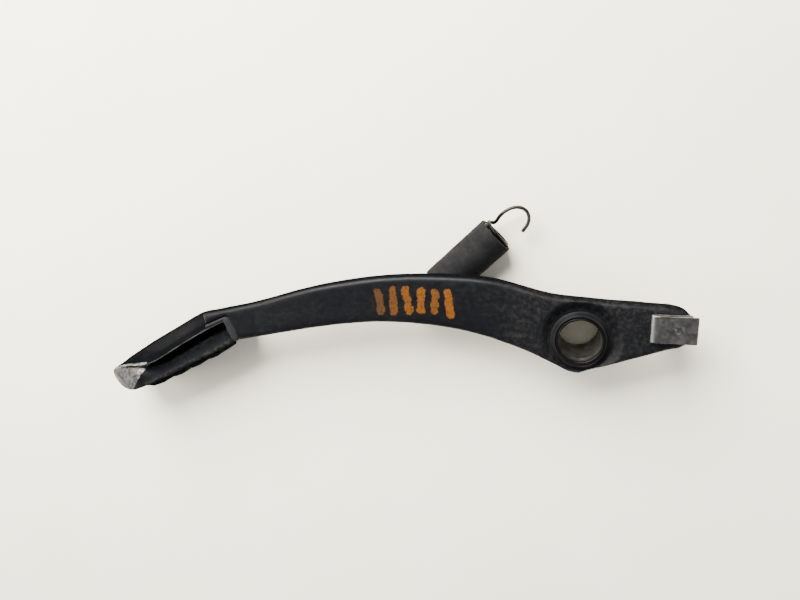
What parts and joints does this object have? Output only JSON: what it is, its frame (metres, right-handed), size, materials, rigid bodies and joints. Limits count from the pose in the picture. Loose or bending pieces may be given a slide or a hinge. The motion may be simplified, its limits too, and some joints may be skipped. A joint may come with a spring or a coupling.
{
  "type": "motorcycle rear brake lever",
  "caption": "Curved steel foot lever with a scooped toothed pad, a wide pivot bore, a sleeved return spring with open hook, and a rod eye with pin and folded clip.",
  "frame": {"origin": "on the pivot axis, level with the lower end of the pivot boss, on which the lever lies", "axes": "+X along the lever from the foot pad to the rod eye, +Z along the pivot axis, +Y completes the frame"},
  "size_m": [0.2686, 0.092, 0.0313],
  "materials": {
    "arm_paint": "semi-gloss black paint with worn edges",
    "weld_paint": "painted weld bead",
    "collar_steel": "greased steel",
    "bush_metal": "sintered bronze",
    "seal_rubber": "matte black rubber",
    "post_steel": "black painted steel",
    "washer_steel": "dull zinc plate",
    "spring_steel": "dark oiled spring steel",
    "sleeve_rubber": "matte charcoal rubber",
    "pin_steel": "zinc-plated steel",
    "clip_steel": "bright spring-steel sheet with light rust"
  },
  "bodies": {
    "lever": {"pedal_arm": "arm_paint", "pivot_boss": "arm_paint", "boss_weld": "weld_paint", "pad_shell": "arm_paint", "pad_weld_front": "weld_paint", "pad_weld_back": "weld_paint", "bush_front": "bush_metal", "bush_back": "bush_metal", "seal_front": "seal_rubber", "seal_back": "seal_rubber", "spring_post": "post_steel", "post_washer": "washer_steel"},
    "collar": {"pivot_collar": "collar_steel"},
    "spring": {"return_spring": "spring_steel"},
    "sleeve": {"spring_sleeve": "sleeve_rubber"},
    "pin": {"rod_pin": "pin_steel"},
    "clip": {"retaining_clip": "clip_steel"}
  },
  "joints": [
    {"name": "pivot_turn", "type": "hinge", "parent": "lever", "child": "collar", "pos_m": [0, 0, 0.0139], "axis": [0, 0, 1], "continuous": true},
    {"name": "spring_swing", "type": "hinge", "parent": "lever", "child": "spring", "pos_m": [-0.0686, 0.0114, 0.0089], "axis": [0, 0, 1], "range_deg": [-26, 90]},
    {"name": "sleeve_slide", "type": "slide", "parent": "spring", "child": "sleeve", "axis": [0.7193, 0.6947, 0], "range_m": [-0.003, 0.006]},
    {"name": "pin_turn", "type": "hinge", "parent": "lever", "child": "pin", "pos_m": [0.0364, 0.0076, 0.018], "axis": [0, 0, 1], "continuous": true},
    {"name": "clip_slide", "type": "slide", "parent": "lever", "child": "clip", "axis": [-1, 0, 0], "range_m": [0, 0.013]}
  ]
}
